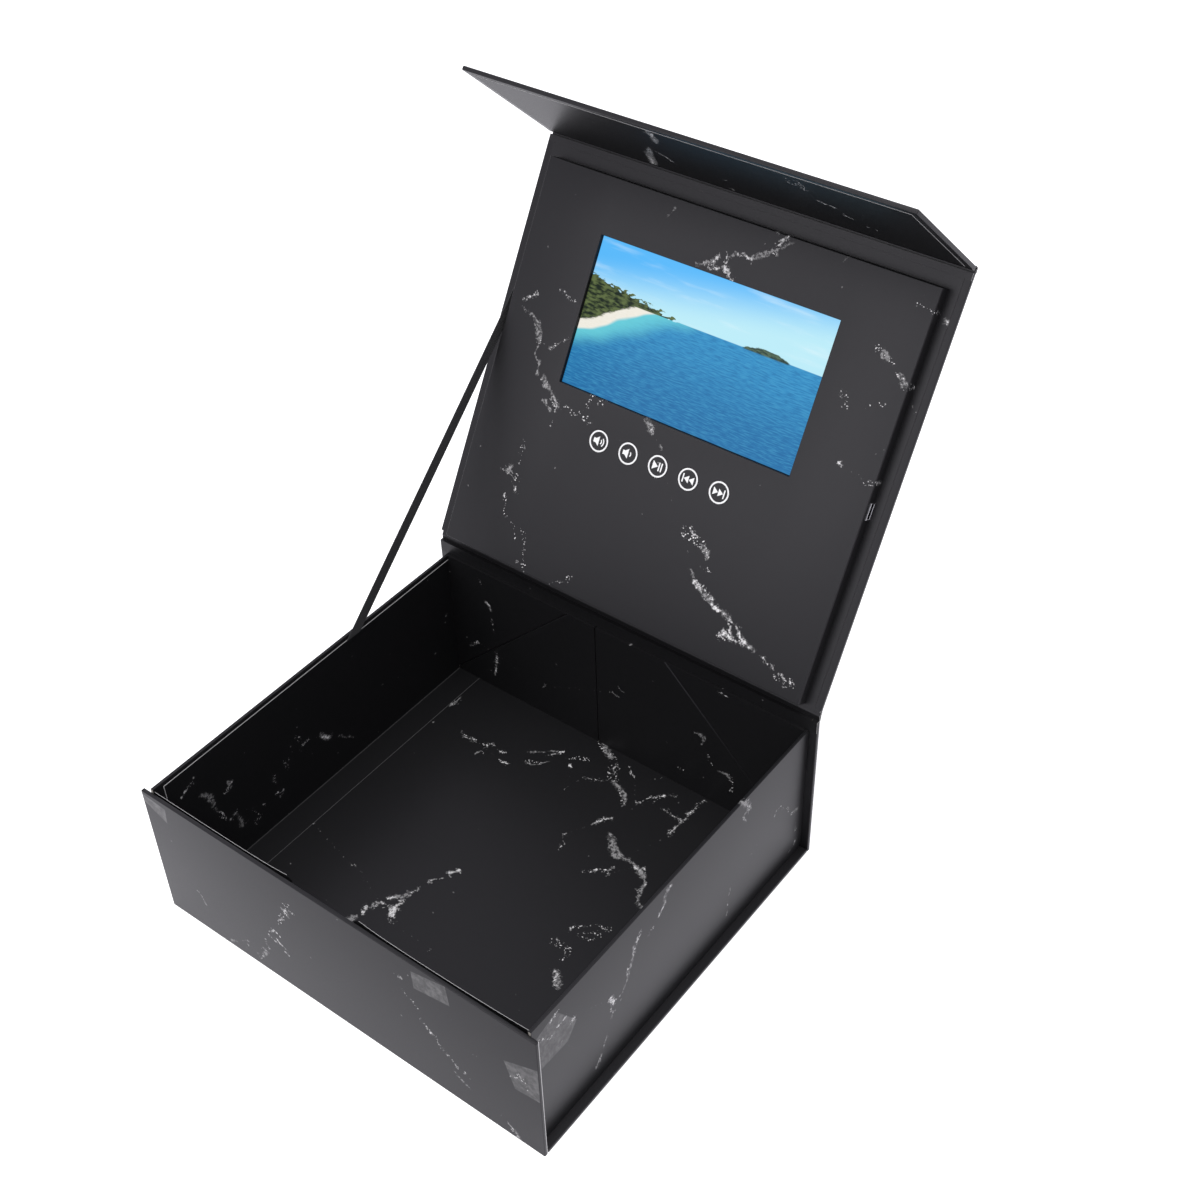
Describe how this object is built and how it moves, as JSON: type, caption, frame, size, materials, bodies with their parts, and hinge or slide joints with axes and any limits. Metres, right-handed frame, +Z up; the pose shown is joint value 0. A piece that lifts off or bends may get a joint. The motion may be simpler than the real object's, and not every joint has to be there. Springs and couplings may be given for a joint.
{
  "type": "lcd video brochure",
  "caption": "Book-style rigid gift box whose hinged lid holds a flat video screen with a row of round push buttons; ribbon stay, magnetic front flap and open tray.",
  "frame": {"origin": "middle of the case's underside, where the box rests on the table", "axes": "+Z up, +X to the right as the box is seen from its front, +Y to the back, where the lid's fold is"},
  "size_m": [0.27, 0.3705, 0.3885],
  "materials": {
    "grey_board": "matte",
    "marble_paper": "satin",
    "lining_paper": "satin",
    "papered_card": "satin",
    "clear_tape": "gloss",
    "plated_steel": "satin",
    "magnet_metal": "polished",
    "foam_board": "matte",
    "screen_housing": "satin",
    "screen_face": "gloss",
    "flex_film": "gloss",
    "circuit_board": "satin",
    "black_moulding": "matte",
    "reed_glass": "gloss",
    "battery_pouch": "satin",
    "lead_sleeve": "satin",
    "printed_button": "satin",
    "satin_ribbon": "satin"
  },
  "bodies": {
    "tray": {"base_board": "grey_board", "base_wrap": "marble_paper", "front_board": "grey_board", "front_wrap": "marble_paper", "front_lining": "lining_paper", "spine_board": "grey_board", "spine_wrap": "marble_paper", "left_wall_board": "grey_board", "left_wall_wrap": "marble_paper", "left_wall_lining": "lining_paper", "right_wall_board": "grey_board", "right_wall_wrap": "marble_paper", "right_wall_lining": "lining_paper", "left_front_flap": "papered_card", "right_front_flap": "papered_card", "left_back_flap": "papered_card", "right_back_flap": "papered_card", "flap_tapes": "clear_tape", "floor_lining": "lining_paper", "front_magnet_plates": "plated_steel", "switch_magnet": "magnet_metal", "lid_hinge_strip": "marble_paper", "lid_hinge_lining": "lining_paper", "ribbon_stay": "satin_ribbon"},
    "lid": {"lid_board": "grey_board", "lid_wrap": "marble_paper", "lid_lining": "lining_paper", "spacer_strips": "foam_board", "facing_board": "grey_board", "facing_wrap": "marble_paper", "screen_pad": "foam_board", "screen_backlight": "screen_housing", "screen_glass": "screen_face", "screen_flex": "flex_film", "main_board": "circuit_board", "board_chips": "black_moulding", "charging_socket": "plated_steel", "reed_switch": "reed_glass", "button_board": "circuit_board", "tactile_switches": "black_moulding", "button_flex": "flex_film", "battery": "battery_pouch", "battery_leads": "lead_sleeve", "speaker": "black_moulding", "speaker_leads": "lead_sleeve", "flap_hinge_strip": "marble_paper", "flap_hinge_lining": "lining_paper"},
    "flap": {"flap_board": "grey_board", "flap_wrap": "marble_paper", "flap_lining": "lining_paper", "flap_magnets": "magnet_metal"},
    "volume_up_button": {"volume_up_button": "printed_button"},
    "volume_down_button": {"volume_down_button": "printed_button"},
    "play_pause_button": {"play_pause_button": "printed_button"},
    "previous_button": {"previous_button": "printed_button"},
    "next_button": {"next_button": "printed_button"}
  },
  "joints": [
    {"name": "lid_hinge", "type": "hinge", "parent": "tray", "child": "lid", "pos_m": [0, 0.123, 0.108], "axis": [1, 0, 0], "range_deg": [0, 120], "deforming": ["lid_hinge_strip", "lid_hinge_lining", "ribbon_stay"]},
    {"name": "flap_hinge", "type": "hinge", "parent": "lid", "child": "flap", "pos_m": [0, 0.2475, 0.32364], "axis": [1, 0, 0], "range_deg": [-78, 12], "deforming": ["flap_hinge_strip", "flap_hinge_lining"]},
    {"name": "volume_up_press", "type": "slide", "parent": "lid", "child": "volume_up_button", "axis": [0, 0.866, -0.5], "range_m": [0, 0.0004], "stiffness_N_per_m": 3000, "springref_m": -0.0001},
    {"name": "volume_down_press", "type": "slide", "parent": "lid", "child": "volume_down_button", "axis": [0, 0.866, -0.5], "range_m": [0, 0.0004], "stiffness_N_per_m": 3000, "springref_m": -0.0001},
    {"name": "play_pause_press", "type": "slide", "parent": "lid", "child": "play_pause_button", "axis": [0, 0.866, -0.5], "range_m": [0, 0.0004], "stiffness_N_per_m": 3000, "springref_m": -0.0001},
    {"name": "previous_press", "type": "slide", "parent": "lid", "child": "previous_button", "axis": [0, 0.866, -0.5], "range_m": [0, 0.0004], "stiffness_N_per_m": 3000, "springref_m": -0.0001},
    {"name": "next_press", "type": "slide", "parent": "lid", "child": "next_button", "axis": [0, 0.866, -0.5], "range_m": [0, 0.0004], "stiffness_N_per_m": 3000, "springref_m": -0.0001}
  ]
}
